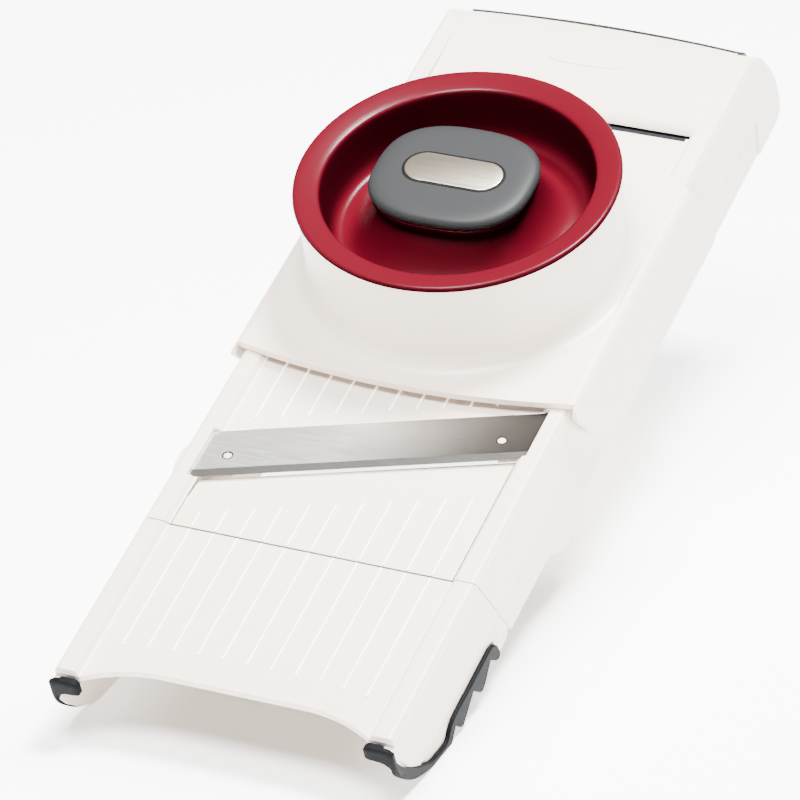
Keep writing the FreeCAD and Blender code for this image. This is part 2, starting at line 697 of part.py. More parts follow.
def thickness_dial():
    body = new_body("thickness_dial")
    ring = [("circle", "dial_y", "dial_z", "dial_radius")]
    pad(body, draw(body, "YZ_Plane", ring, "-wall_outer - dial_proud"), "dial_proud + wall_thick - side_gap")
    bore = [("circle", "dial_y", "dial_z", "shaft_radius")]
    pocket(body, draw(body, "YZ_Plane", bore, "-wall_outer + 0.5"), "5", True)
    finish("thickness_dial", body)


def cam(name, x):
    """A spiral cam that falls by the ramp's travel over the dial's turn."""
    body = new_body(name)

    def at(turn):
        radius = f"(cam_high - ramp_travel * {turn / 240})"
        return f"dial_y + {radius} * sin({turn})", f"dial_z + {radius} * cos({turn})"

    loop = [at(turn) + at(turn + 15) for turn in range(0, 240, 30)]
    loop.append(at(240))
    pad(body, draw(body, "YZ_Plane", [loop], f"{x} - cam_thick / 2"), "cam_thick")
    bore = [("circle", "dial_y", "dial_z", "shaft_radius")]
    pocket(body, draw(body, "YZ_Plane", bore, f"{x} - cam_thick"), "2 * cam_thick", True)
    finish(name, body)


# ---------------------------------------------------------------- blade
def blade_plate():
    body = new_body("blade_plate")
    low = "blade_top - blade_thick"
    section = [
        (skewed("0", f"-{BLADE_HALF}"), low),
        (skewed("bevel", f"-{BLADE_HALF}"), "blade_top"),
        (skewed("blade_reach", f"-{BLADE_HALF}"), "blade_top"),
        (skewed("blade_reach", f"-{BLADE_HALF}"), low),
    ]
    pad(body, draw(body, "YZ_Plane", [section], f"-{BLADE_HALF}"), f"2 * {BLADE_HALF}", False, ("1", "blade_skew", "0"))
    holes = [("circle", x, skewed("peg_back", x), "blade_hole") for x in (f"10 - {BLADE_HALF}", f"{BLADE_HALF} - 12")]
    pocket(body, draw(body, "XY_Plane", holes, "-5"), "10", True)
    finish("blade_plate", body)


def blade_stiffener():
    body = new_body("blade_stiffener")
    low = "blade_top - blade_thick"
    section = [
        (skewed("10", f"14 - {BLADE_HALF}"), low),
        (skewed("20", f"14 - {BLADE_HALF}"), low),
        (skewed("20", f"14 - {BLADE_HALF}"), f"{low} - 1.5"),
        (skewed("10", f"14 - {BLADE_HALF}"), f"{low} - 1.5"),
    ]
    pad(body, draw(body, "YZ_Plane", [section], f"14 - {BLADE_HALF}"), f"2 * {BLADE_HALF} - 28", False, ("1", "blade_skew", "0"))
    finish("blade_stiffener", body)


# ---------------------------------------------------------------- handle
COVER_TOP = [
    ("handle_start", "-3.4", "handle_start + 2.6", "-1"),
    ("handle_start + 9", "0.2", "handle_start + 19", "1.6"),
    ("handle_start + 29", "2.2", "handle_start + 43", "1.9"),
    ("handle_start + 55", "-2.2"),
]
COVER_LOW = [
    ("handle_start + 55", "-2.2 - cover_thick", "handle_start + 43", "1.9 - cover_thick"),
    ("handle_start + 29", "2.2 - cover_thick", "handle_start + 19", "1.6 - cover_thick"),
    ("handle_start + 9", "0.2 - cover_thick", "handle_start + 4.2", "-1 - cover_thick"),
    ("handle_start + 1.6", "-4.6"),
]


def handle_cover():
    body = new_body("handle_cover")
    loop = COVER_TOP + COVER_LOW
    pad(body, draw(body, "YZ_Plane", [loop], f"-{HANDLE_HALF}"), f"2 * {HANDLE_HALF}")
    beyond = [
        (f"-{HANDLE_HALF} - 2.5", "handle_start + 47.4", "0", "handle_start + 52.3"),
        (f"{HANDLE_HALF} + 2.5", "handle_start + 47.4"),
        (f"{HANDLE_HALF} + 2.5", "handle_start + 63"),
        (f"-{HANDLE_HALF} - 2.5", "handle_start + 63"),
    ]
    pocket(body, draw(body, "XY_Plane", [beyond], "-20"), "40", True)
    finish("handle_cover", body)


def handle_grip():
    body = new_body("handle_grip")
    loop = [
        ("handle_start + 1.6", "-4.6", "handle_start + 4.2", "-1 - cover_thick"),
        ("handle_start + 9", "0.2 - cover_thick", "handle_start + 19", "1.6 - cover_thick"),
        ("handle_start + 29", "2.2 - cover_thick", "handle_start + 43", "1.9 - cover_thick"),
        ("handle_start + 55", "-2.2 - cover_thick", "handle_start + 62", "-19"),
        ("handle_start + 65.6", "-36", "handle_start + 64", "-42"),
        ("handle_start + 59", "-44"),
        ("handle_start + 51", "-44", "handle_start + 43", "-24"),
        ("handle_start + 29", "-15"),
        ("handle_start + 1.6", "-11"),
    ]
    pad(body, draw(body, "YZ_Plane", [loop], f"-{HANDLE_HALF}"), f"2 * {HANDLE_HALF}")
    finish("handle_grip", body)


# ---------------------------------------------------------------- carriage
PLATE_LOW = "(rail_rise + slide_gap)"
PLATE_TOP = "(rail_rise + slide_gap + plate_thick)"


def carriage_shell():
    body = new_body("carriage_shell")
    plate = [
        (f"4.2 - {SKIRT}", "93.2", "0", "86.7"),
        (f"{SKIRT} - 4.2", "93.2"),
        (SKIRT, "94.4"),
        (SKIRT, "217"),
        (f"{SKIRT} - 7.2", "222.4", "0", "226.4"),
        (f"7.2 - {SKIRT}", "222.4"),
        (f"-{SKIRT}", "217"),
        (f"-{SKIRT}", "94.4"),
    ]
    pad(body, draw(body, "XY_Plane", [plate], PLATE_LOW), "plate_thick")
    skirt = [
        ("94", PLATE_TOP, "91.4", "3.2"),
        ("91.2", "0"),
        ("103.4", "-17.4"),
        ("113.7", "-27.8"),
        ("122", "-skirt_depth"),
        ("233.9", "-skirt_depth"),
        ("233.4", "-25.7"),
        ("228.5", "-14.7"),
        ("220.5", "-0.8"),
        ("217", PLATE_TOP),
    ]
    pad_twice(body, skirt, "wall_outer + skirt_gap", "skirt_thick")
    collar = [
        ("collar_inner - 2", PLATE_LOW),
        ("collar_outer + 6.6", PLATE_LOW),
        ("collar_outer + 6.6", PLATE_TOP, "collar_outer + 6.6 * 0.293", f"{PLATE_TOP} + 6.6 * 0.293"),
        ("collar_outer", f"{PLATE_TOP} + 6.6"),
        ("collar_outer", "collar_top"),
        ("collar_inner - 2", "collar_top"),
    ]
    revolve(body, draw(body, "XZ_Plane", [collar], "-carriage_y"))
    hole = [("circle", "0", "carriage_y", "collar_inner")]
    pocket(body, draw(body, "XY_Plane", hole, "0"), "60", True)
    round_corners(body, SKIRT, PLATE_TOP, "skirt_corner")
    finish("carriage_shell", body)


def carriage_glide(side, lift):
    body = new_body("carriage_glide_" + side)
    loop = [("128", "-28"), ("131", "-27.7"), ("219", "-27.7"), ("222", "-28"), ("222", "-31"), ("128", "-31")]
    pad(body, draw(body, "YZ_Plane", [loop], lift), "skirt_gap + 0.4")
    finish("carriage_glide_" + side, body)


# ---------------------------------------------------------------- pusher
def pusher_cup():
    body = new_body("pusher_cup")
    seat = "collar_top + slide_gap"
    skirt_in = "cup_radius - 5.2"
    loop = [
        ("0", "cup_floor - cup_wall"),
        (skirt_in, "cup_floor - cup_wall"),
        (skirt_in, "cup_base"),
        ("cup_radius", "cup_base"),
        ("cup_radius", seat),
        ("rim_radius - 0.3", seat, "rim_radius + 0.1", "rim_z - 1.2"),
        ("rim_radius - 0.7", "rim_z"),
        ("lip_radius + 1.2", "rim_z - lip_fall + 0.3", "lip_radius + 0.3", "rim_z - lip_fall - 0.5"),
        ("lip_radius", "rim_z - lip_fall - 2"),
        ("lip_radius - 1.2", "cup_floor + 6", "lip_radius - 2.96", "cup_floor + 1.76"),
        ("lip_radius - 7.2", "cup_floor"),
        ("0", "cup_floor"),
    ]
    revolve(body, draw(body, "XZ_Plane", [loop], "-carriage_y"))
    post = rounded("post_half_x", "post_half_y", "20", "carriage_y")
    pad(body, draw(body, "XY_Plane", [post], "cup_floor - 1"), "post_top - cup_floor + 1")
    floor = value("cup_floor")
    reach = value("post_half_x") + 1

    def foot(edge):
        box = edge.BoundBox
        return abs(box.ZMin - floor) < 1e-3 and abs(box.ZMax - floor) < 1e-3 and max(box.XMax, -box.XMin) < reach

    fillet(body, "3", foot)
    flange = rounded("knob_half_x - 0.3", "knob_half_y - 0.3", "20.7", "carriage_y")
    pad(body, draw(body, "XY_Plane", [flange], "post_top - 3.4"), "3.4")
    finish("pusher_cup", body)


def knob_cap():
    body = new_body("knob_cap")
    outline = rounded("knob_half_x", "knob_half_y", "21", "carriage_y")
    pad(body, draw(body, "XY_Plane", [outline], "post_top"), "knob_thick")
    top = value("post_top + knob_thick")
    low = value("post_top")
    fillet(body, "3", lambda edge: edge.BoundBox.ZMin > top - 1e-3)
    fillet(body, "1.2", lambda edge: edge.BoundBox.ZMax < low + 1e-3)
    oval = rounded("badge_half_x", "badge_half_y", "badge_half_y - 0.05", "carriage_y")
    pocket(body, draw(body, "XY_Plane", [oval], "post_top + knob_thick"), "0.5")
    finish("knob_cap", body)


def knob_badge():
    body = new_body("knob_badge")
    oval = rounded("badge_half_x", "badge_half_y", "badge_half_y - 0.05", "carriage_y")
    pad(body, draw(body, "XY_Plane", [oval], "post_top + knob_thick - 0.5"), "badge_thick")
    finish("knob_badge", body)


def food_plate():
    body = new_body("food_plate")
    disc = [("circle", "0", "carriage_y", "press_radius")]
    pad(body, draw(body, "XY_Plane", disc, "cup_base - press_thick"), "press_thick")
    spikes = []
    for count, circle in ((12, "spike_circle"), (6, "spike_circle / 2")):
        for number in range(count):
            turn = 360 / count * number
            place = (f"{circle} * cos({turn})", f"carriage_y + {circle} * sin({turn})")
            spikes.append(("circle", *place, "spike_radius"))
    pad(body, draw(body, "XY_Plane", spikes, "cup_base - press_thick + 0.2"), "spike_length + 0.2", True)
    finish("food_plate", body)


# ---------------------------------------------------------------- stand
STAND_REACH = "((origin_drop + stand_y * sin(tilt) + stand_z * cos(tilt)) / cos(stand_lean))"


def leg(along, across):
    """A place on the stand's leg, seen from the side: down the leg from its hinge, and across it."""
    y = f"stand_y - ({along}) * sin(tilt - stand_lean) + ({across}) * cos(tilt - stand_lean)"
    z = f"stand_z - ({along}) * cos(tilt - stand_lean) - ({across}) * sin(tilt - stand_lean)"
    return y, z


def stand_frame():
    body = new_body("stand_frame")
    knuckle = [("circle", "stand_y", "stand_z", "stand_pin + 3")]
    pad(body, draw(body, "YZ_Plane", knuckle, "-stand_half"), "2 * stand_half")
    half = "stand_bar / 2"
    end = f"{STAND_REACH} - foot_thick"
    bar = [leg("0", f"-{half}"), leg("0", half), leg(end, half), leg(end, f"-{half}")]
    pad_twice(body, bar, "stand_half - 6", "6")
    beam = [leg(f"{end} - 9", f"-{half}"), leg(f"{end} - 9", half), leg(end, half), leg(end, f"-{half}")]
    pad(body, draw(body, "YZ_Plane", [beam], "-stand_half"), "2 * stand_half")
    bore = [("circle", "stand_y", "stand_z", "stand_pin + run_gap")]
    pocket(body, draw(body, "YZ_Plane", bore, "-40"), "80", True)
    finish("stand_frame", body)


def stand_foot():
    body = new_body("stand_foot")
    half = "(stand_bar / 2)"
    end = f"{STAND_REACH} - foot_thick"
    loop = [
        leg(end, f"-{half}"),
        leg(end, half),
        leg(f"{STAND_REACH} + {half} * tan(stand_lean)", half),
        leg(f"{STAND_REACH} - {half} * tan(stand_lean)", f"-{half}"),
    ]
    pad(body, draw(body, "YZ_Plane", [loop], "-stand_half"), "2 * stand_half")
    finish("stand_foot", body)


main_frame()
front_runway()
foot_grip("left", -1)
foot_grip("right", 1)
LUG_X = "wall_outer - wall_thick - side_gap - lug_thick"
cylinder_x("hinge_pin_left", HINGE_Y, HINGE_Z, "pin_radius", "-wall_outer + crease_step", f"-({LUG_X})")
cylinder_x("hinge_pin_right", HINGE_Y, HINGE_Z, "pin_radius", LUG_X, "wall_outer - crease_step")
ramp_plate()
thickness_dial()
cylinder_x("cam_shaft", "dial_y", "dial_z", "shaft_radius", "-wall_outer + 0.5", "wall_outer - wall_thick - 0.4")
cam("cam_left", "cam_left_x")
cam("cam_right", CAM_RIGHT)
blade_plate()
blade_stiffener()
handle_cover()
handle_grip()
carriage_shell()
carriage_glide("left", "-wall_outer - skirt_gap")
carriage_glide("right", "wall_outer - 0.4")
pusher_cup()
knob_cap()
knob_badge()
food_plate()
stand_frame()
stand_foot()
cylinder_x("stand_pin", "stand_y", "stand_z", "stand_pin", "-stand_half - side_gap - 4", "stand_half + side_gap + 4")

doc.recompute()
whole = Part.makeCompound([item.Shape for item in SUBPARTS]).BoundBox
sheet.set("B3", str(round(-(whole.YMin + whole.YMax) / 2, 3)))
sheet.set("B2", str(round(value("origin_drop") - whole.ZMin, 3)))
doc.recompute()
os.makedirs("parts", exist_ok=True)
for item in doc.Objects:
    if "Invalid" in item.State or "Error" in item.State:
        raise ValueError(f"{item.Name} did not build: {item.State}")
for item in SUBPARTS:
    shape = item.Shape
    if shape.isNull() or not shape.isValid():
        raise ValueError(f"{item.Label}: the shape is not sound")
    shape.exportStep(f"parts/{item.Label}.step")
    print(item.Label, len(shape.Solids), round(shape.Volume), shape.BoundBox)
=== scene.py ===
import json
import math

import bmesh
import bpy
from mathutils import Matrix, Vector


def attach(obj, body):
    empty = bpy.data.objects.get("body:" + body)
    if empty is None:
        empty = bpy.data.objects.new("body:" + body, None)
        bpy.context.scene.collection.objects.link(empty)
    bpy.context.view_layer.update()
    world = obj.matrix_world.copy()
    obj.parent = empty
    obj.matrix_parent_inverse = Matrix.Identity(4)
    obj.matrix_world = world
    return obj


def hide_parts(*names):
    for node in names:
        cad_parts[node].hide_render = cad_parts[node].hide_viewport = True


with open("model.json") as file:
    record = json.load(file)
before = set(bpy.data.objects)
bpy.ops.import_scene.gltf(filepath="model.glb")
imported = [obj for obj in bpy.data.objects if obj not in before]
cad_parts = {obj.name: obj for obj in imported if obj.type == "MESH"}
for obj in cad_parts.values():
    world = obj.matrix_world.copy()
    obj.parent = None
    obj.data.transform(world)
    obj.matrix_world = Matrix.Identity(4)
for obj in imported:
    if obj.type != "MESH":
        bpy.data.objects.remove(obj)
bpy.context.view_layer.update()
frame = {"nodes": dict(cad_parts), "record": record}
record = frame["record"]

# The deck's own frame: x across, y along the deck towards the handle, z up from the deck, with the origin in
# the fold joint, in millimetres. NORMAL is the deck's upward direction in the row frame.
TILT = math.radians(17.5)
BACK, DROP = -121.0, 50.8
NORMAL = Vector((0, -math.sin(TILT), math.cos(TILT)))
TIP = Matrix.Translation((0, BACK / 1000, DROP / 1000)) @ Matrix.Rotation(TILT, 4, "X")
CARRIAGE_Y = 159.8  # the pusher's axis on the deck


def at(x, y, z):
    """A place in the deck's frame, as a place in the row frame in metres."""
    return TIP @ Vector((x / 1000, y / 1000, z / 1000))


def table_z(y):
    """Height of the table below the deck at y, in the deck's frame."""
    return (-DROP - y * math.sin(TILT)) / math.cos(TILT)


# ------------------------------------------------------------------ shader nodes
def nodes_of(name):
    """A new material, with its node tree and its shader."""
    material = bpy.data.materials.new(name)
    material.use_nodes = True
    tree = material.node_tree
    return material, tree, tree.nodes["Principled BSDF"]


def feed(tree, value, socket):
    """Sets an input to a value, or links it to the output that `value` is."""
    if isinstance(value, bpy.types.NodeSocket):
        tree.links.new(value, socket)
    else:
        socket.default_value = value


def node(tree, kind, values=(), **settings):
    """A shader node with its settings, and its inputs fed from `values`."""
    made = tree.nodes.new("ShaderNode" + kind)
    for key, value in settings.items():
        setattr(made, key, value)
    for key, value in dict(values).items():
        feed(tree, value, made.inputs[key])
    return made


def remap(tree, value, start, end, low=0.0, high=1.0, **settings):
    """`value` moved from start..end to low..high, and held at both ends."""
    spans = {"Value": value, "From Min": start, "From Max": end, "To Min": low, "To Max": high}
    return node(tree, "MapRange", spans, **settings).outputs["Result"]


def reckon(tree, operation, first, second=0.0):
    """Arithmetic on one or two values."""
    return node(tree, "Math", {0: first, 1: second}, operation=operation).outputs["Value"]


def along(tree, vector, direction):
    """The part of a vector that lies along a direction."""
    return node(tree, "VectorMath", {0: vector, 1: direction}, operation="DOT_PRODUCT").outputs["Value"]


def blend(tree, share, first, second):
    """A colour between two others."""
    return node(tree, "Mix", {0: share, 6: first, 7: second}, data_type="RGBA").outputs[2]


def split_up(tree, vector):
    """The X, Y and Z outputs of a vector."""
    return node(tree, "SeparateXYZ", {"Vector": vector}).outputs


# ------------------------------------------------------------------ materials
PATCHY = 0.985  # how dark the slightly darker patches of a plastic are
PATCH_SCALE = 14
PLASTIC_IOR = 1.45
GRAIN_DEPTH, GRAIN_DETAIL = 0.0002, 3.0  # metres, octaves
EDGE_RADIUS, EDGE_SAMPLES = 0.0005, 6  # metres, how far a plastic's edges look rounded
BRUSH_SCALE, BRUSH_DETAIL = 60, 6
BRUSH_STRENGTH, BRUSH_DEPTH = 0.12, 0.0001  # depth in metres
SMOOTHEST, ROUGHEST = 0.8, 1.25  # shares of a metal's roughness that the brush lines vary between


def grain(tree, shader, scale, strength):
    """Fine surface grain, over edges that are softened a little."""
    place = node(tree, "TexCoord").outputs["Object"]
    texture = node(tree, "TexNoise", {"Vector": place, "Scale": scale, "Detail": GRAIN_DETAIL})
    soft = node(tree, "Bevel", {"Radius": EDGE_RADIUS}, samples=EDGE_SAMPLES)
    bump = node(tree, "Bump", {
        "Strength": strength,
        "Distance": GRAIN_DEPTH,
        "Height": texture.outputs["Fac"],
        "Normal": soft.outputs["Normal"],
    })
    tree.links.new(bump.outputs["Normal"], shader.inputs["Normal"])


def plastic(name, color, roughness, gloss=0.5, scale=900, strength=0.05):
    """Moulded plastic or rubber with a fine grain."""
    material, tree, shader = nodes_of(name)
    grain(tree, shader, scale, strength)
    wide = node(tree, "TexNoise", {"Scale": PATCH_SCALE})
    patch = (*[channel * PATCHY for channel in color], 1)
    feed(tree, blend(tree, wide.outputs["Fac"], patch, (*color, 1)), shader.inputs["Base Color"])
    shader.inputs["Roughness"].default_value = roughness
    shader.inputs["Specular IOR Level"].default_value = gloss
    shader.inputs["IOR"].default_value = PLASTIC_IOR
    return material


def steel(name, tone, roughness, stretch):
    """Brushed metal: the brush lines run across `stretch`."""
    material, tree, shader = nodes_of(name)
    shader.inputs["Base Color"].default_value = (*tone, 1)
    shader.inputs["Metallic"].default_value = 1.0
    place = node(tree, "TexCoord").outputs["Object"]
    mapping = node(tree, "Mapping", {"Vector": place, "Scale": stretch})
    lines = {"Vector": mapping.outputs["Vector"], "Scale": BRUSH_SCALE, "Detail": BRUSH_DETAIL}
    brush = node(tree, "TexNoise", lines).outputs["Fac"]
    rough = remap(tree, brush, 0.0, 1.0, roughness * SMOOTHEST, roughness * ROUGHEST)
    feed(tree, rough, shader.inputs["Roughness"])
    bump = node(tree, "Bump", {"Strength": BRUSH_STRENGTH, "Distance": BRUSH_DEPTH, "Height": brush})
    tree.links.new(bump.outputs["Normal"], shader.inputs["Normal"])
    return material


# Name, linear colour, roughness, gloss, grain scale and grain strength.
WHITE = plastic("white_plastic", (0.76, 0.665, 0.575), 0.34)
RED = plastic("red_plastic", (0.060, 0.0018, 0.0060), 0.25, 0.13, 2600, 0.10)
GREY = plastic("grey_grip", (0.018, 0.0185, 0.019), 0.48, 0.16, 1500, 0.10)
# Used only as painted shade: dark beads in the gaps, and the sheet in the handle's slot.
SHADE_DARK = plastic("painted_shade_dark", (0.008, 0.009, 0.011), 0.5, 0.15)
# Near-black: a ring round the knob's badge, and painted shade in the gaps round the blade's pegs.
NEAR_BLACK = plastic("near_black", (0.003, 0.003, 0.0035), 0.6, 0.1)
RUBBER = plastic("grey_rubber", (0.0026, 0.0030, 0.0038), 0.62, 0.07, 1800, 0.15)
# Name, linear colour, roughness and stretch of the brush lines.
STEEL = steel("steel", (0.36, 0.35, 0.34), 0.26, (1, 40, 1))
BLADE = steel("blade", (0.46, 0.45, 0.44), 0.30, (1, 26, 1))
BADGE = steel("badge", (0.48, 0.42, 0.33), 0.34, (1, 60, 1))
FINISH = {"white_plastic": WHITE, "grey_rubber": RUBBER, "grey_grip": GREY, "steel": STEEL, "red_plastic": RED}
for part in record["subparts"]:
    piece = frame["nodes"][part["node"]]
    piece.data.materials.clear()
    piece.data.materials.append(FINISH[part["material_slot"]])

# The rib crests get a painted highlight: a lighter colour and a faint glow of their own.
RIB_FOOT, RIB_TOP, RIB_BLUR = 0.16, 0.5, 0.08  # the rib crests above the deck, mm
PAINTED_CREST_COLOR = (1, 0.99, 0.97, 1)
CREST_GLOW_COLOR, CREST_GLOW = (1, 0.99, 0.96, 1), 1.6
# Painted shade: the colour of the bowl's steep walls.
WALL_SHADE_RED = (0.019, 0.0007, 0.0022, 1)
STEEP, FLAT = 0.25, 0.90  # how far the bowl's surface faces up, on a wall and on its floor
WALL_GLOSS, FLOOR_GLOSS = 0.0, 0.14
# Painted reflection on the blade: a run from bright to dark across it, fixed to its place in the row frame, and a
# darker bevel picked out by the way it faces.
BLADE_PAINTED_BRIGHT, BLADE_PAINTED_DARK = (1.0, 0.98, 0.95, 1), (0.040, 0.037, 0.035, 1)
FADE_FROM, FADE_TO, FADE_POWER = -0.010, 0.075, 3.4  # metres across the blade
BEVEL_FACE, BEVEL_FROM, BEVEL_TO = (0.0806, -0.509, 0.857), 0.982, 0.992  # its direction, and how close to it
BEVEL_PAINTED_SHADE = (0.058, 0.056, 0.053, 1)


def above_deck(tree, low, high):
    """1 between two heights above the deck, in millimetres, and 0 outside them."""
    height = along(tree, node(tree, "TexCoord").outputs["Object"], NORMAL)
    deck = NORMAL.dot(at(0, 0, 0))
    rise = remap(tree, height, deck + low / 1000, deck + (low + RIB_BLUR) / 1000)
    fall = remap(tree, height, deck + (high + RIB_BLUR) / 1000, deck + high / 1000)
    return reckon(tree, "MULTIPLY", rise, fall)


def ribbed(name):
    """White plastic with a painted highlight and a faint painted glow on its rib crests."""
    material = WHITE.copy()
    material.name = name
    tree = material.node_tree
    shader = tree.nodes["Principled BSDF"]
    painted_crest = above_deck(tree, RIB_FOOT, RIB_TOP)
    color = shader.inputs["Base Color"].links[0].from_socket
    feed(tree, blend(tree, painted_crest, color, PAINTED_CREST_COLOR), shader.inputs["Base Color"])
    shader.inputs["Emission Color"].default_value = CREST_GLOW_COLOR
    feed(tree, reckon(tree, "MULTIPLY", painted_crest, CREST_GLOW), shader.inputs["Emission Strength"])
    return material


def paint_bowl_wall_shade():
    """Paints shade on the bowl's steep walls, so they are darker than its floor and rim."""
    tree = RED.node_tree
    shader = tree.nodes["Principled BSDF"]
    facing = along(tree, node(tree, "NewGeometry").outputs["Normal"], NORMAL)
    flat = remap(tree, facing, STEEP, FLAT, interpolation_type="SMOOTHSTEP")
    color = shader.inputs["Base Color"].links[0].from_socket
    feed(tree, blend(tree, flat, WALL_SHADE_RED, color), shader.inputs["Base Color"])
    feed(tree, remap(tree, flat, 0.0, 1.0, WALL_GLOSS, FLOOR_GLOSS), shader.inputs["Specular IOR Level"])


def paint_blade_reflections():
    """Paints the plate's reflections: brighter to the left, darker to the right, with painted shade on the bevel."""
    tree = BLADE.node_tree
    shader = tree.nodes["Principled BSDF"]
    place = node(tree, "NewGeometry").outputs
    across = remap(tree, split_up(tree, place["Position"])["X"], FADE_FROM, FADE_TO, 1.0, 0.0)
    tone = blend(tree, reckon(tree, "POWER", across, FADE_POWER), BLADE_PAINTED_DARK, BLADE_PAINTED_BRIGHT)
    bevel = remap(tree, along(tree, place["True Normal"], BEVEL_FACE), BEVEL_FROM, BEVEL_TO)
    feed(tree, blend(tree, bevel, tone, BEVEL_PAINTED_SHADE), shader.inputs["Base Color"])


paint_blade_reflections()
paint_bowl_wall_shade()
frame["nodes"]["blade_plate"].data.materials[0] = BLADE
RIBBED_PAINTED = ribbed("white_painted_crests")
for name in ("main_frame", "front_runway", "ramp_plate"):
    frame["nodes"][name].data.materials[0] = RIBBED_PAINTED


# ------------------------------------------------------------------ mesh tools
SHARP = math.radians(38)  # edges that turn by more stay sharp
BEAD_SIDES, FINE_SIDES = 8, 6


def link(name, data):
    """A new object in the scene."""
    made = bpy.data.objects.new(name, data)
    bpy.context.scene.collection.objects.link(made)
    return made


def solid(name, points, faces, material, body):
    """A mesh given in the deck's frame, in millimetres, that rides on a body."""
    mesh = bpy.data.meshes.new(name)
    mesh.from_pydata([at(*point) for point in points], [], faces)
    mesh.update()
    made = link(name, mesh)
    work = bmesh.new()
    work.from_mesh(mesh)
    bmesh.ops.recalc_face_normals(work, faces=work.faces)
    work.to_mesh(mesh)
    work.free()
    for polygon in mesh.polygons:
        polygon.use_smooth = True
    mesh.set_sharp_from_angle(angle=SHARP)
    mesh.materials.append(material)
    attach(made, body)
    return made


def skin(name, loops, material, body, closed=False):
    """A skin through loops of equal count. Open ends are capped."""
    count = len(loops[0])
    points = [point for loop in loops for point in loop]
    faces = []
    for k in range(len(loops) if closed else len(loops) - 1):
        m = (k + 1) % len(loops)
        for i in range(count):
            j = (i + 1) % count
            faces.append((k * count + i, k * count + j, m * count + j, m * count + i))
    if not closed:
        faces.append(tuple(range(count)))
        faces.append(tuple((len(loops) - 1) * count + i for i in range(count)))
    return solid(name, points, faces, material, body)


def thread(name, path, radius, material, body, closed=False, sides=BEAD_SIDES):
    """A thin round bead through points in the deck's frame."""
    count = len(path)
    loops = []
    for i, spot in enumerate(path):
        spot = Vector(spot)
        ahead = Vector(path[(i + 1) % count] if closed or i + 1 < count else path[i])
        behind = Vector(path[i - 1] if closed or i > 0 else path[i])
        run = (ahead - behind).normalized()
        side = run.cross(Vector((0, 0, 1)))
        side = side.normalized() if side.length > 1e-3 else Vector((0, 1, 0))
        rise = side.cross(run)
        turns = [2 * math.pi * k / sides for k in range(sides)]
        loops.append([tuple(spot + (side * math.cos(turn) + rise * math.sin(turn)) * radius) for turn in turns])
    return skin(name, loops, material, body, closed)


def superellipse(half_x, half_y, power, x, y, count):
    """A closed line about (x, y): power 2 is an ellipse, larger is squarer."""
    line = []
    for i in range(count):
        turn = 2 * math.pi * i / count
        c, s = math.cos(turn), math.sin(turn)
        grow = (abs(c) ** power + abs(s) ** power) ** (-1 / power)
        line.append((x + half_x * c * grow, y + half_y * s * grow))
    return line


def between(stops, x):
    """A value read off straight runs between (x, value) stops."""
    for (x0, v0), (x1, v1) in zip(stops, stops[1:]):
        if x <= x1:
            return v0 + (v1 - v0) * max(0.0, (x - x0) / (x1 - x0))
    return stops[-1][1]


def smooth_line(points, steps=4):
    """A soft line through the given corners, with `steps` points for each run."""
    out = []
    for i in range(len(points) - 1):
        corners = (points[max(i - 1, 0)], points[i], points[i + 1], points[min(i + 2, len(points) - 1)])
        for k in range(steps):
            t = k / steps
            out.append(tuple(
                0.5 * (2 * b + (c - a) * t + (2 * a - 5 * b + 4 * c - d) * t * t + (3 * b - a - 3 * c + d) * t ** 3)
                for a, b, c, d in zip(*corners)
            ))
    return out + [points[-1]]


# ------------------------------------------------------------------ front feet
# Front edge of the nose as (z, y), going up.
NOSE = [
    (-60, -58.0), (-33, -60.0), (-29.6, -68.0), (-20.5, -75.5), (-16.5, -79.0), (-11.4, -81.2), (-6.4, -82.5),
    (-1.5, -83.0), (0, -83.0),
]
# The dark cap across the nose: its inner and outer end, and its upper and lower line as (x, z).
CAP_IN, CAP_OUT = 55.2, 66.6
CAP_TOP = [(CAP_IN, -0.9), (56.6, 0.4), (62.5, 0.5), (64.6, 0.2), (CAP_OUT, -1.2)]
CAP_LOW = [(CAP_IN, -5.6), (57.0, -6.3), (61.2, -6.8), (62.8, -7.6), (64.2, -10.2), (65.4, -13.0), (CAP_OUT, -15.0)]
CAP_COLUMNS, CAP_ROWS = 18, 14
CAP_PROUD = 0.7  # before the nose
CAP_DEEP = 2.4  # into it, and less where the wall starts
CAP_WALL_X, CAP_WALL_DEEP = 62.6, 1.4
END_TUCK, ROW_TUCK = {0: 0.7, 1: 0.25}, {0: 0.6, 1: 0.2}  # how far the cap's outer rows and columns draw back

# The strip below the side wall as (y, z): its underside with the teeth, then its upper line.
SOLE = smooth_line([
    (-83.4, -1.0), (-83.2, -6.4), (-81.9, -12.2), (-78.6, -17.4), (-74.0, -23.0), (-69.4, -27.4), (-65.2, -30.4),
    (-60.5, -33.2), (-55.0, table_z(-55)),
])
SOLE += [(-38.0, table_z(-38)), (-33.1, -36.9), (-28.9, -42.3), (-27.4, -42.9), (-26.0, -42.4)]
SOLE += [(-15.6, -37.0), (-10.2, -43.2), (-8.6, -43.9), (-5.4, -42.8)]
SOLE += [(1.1, -37.7), (6.0, -42.8), (7.6, -43.6), (9.3, -42.8), (9.6, -41.0), (8.2, -37.0), (5.8, -34.2)]
LINE = smooth_line([
    (2.0, -33.0), (-16.0, -33.0), (-34.0, -33.0), (-41.0, -37.2), (-46.0, -36.5), (-54.6, -33.2), (-58.6, -30.2),
    (-64.4, -25.8), (-70.3, -20.4), (-75.1, -15.2), (-78.3, -10.6), (-80.6, -6.0), (-81.6, -1.0),
])
STRIP_LAYERS = ((64.7, 0.0), (65.9, 0.0), (66.35, 0.35))  # x and how far the outline draws in there
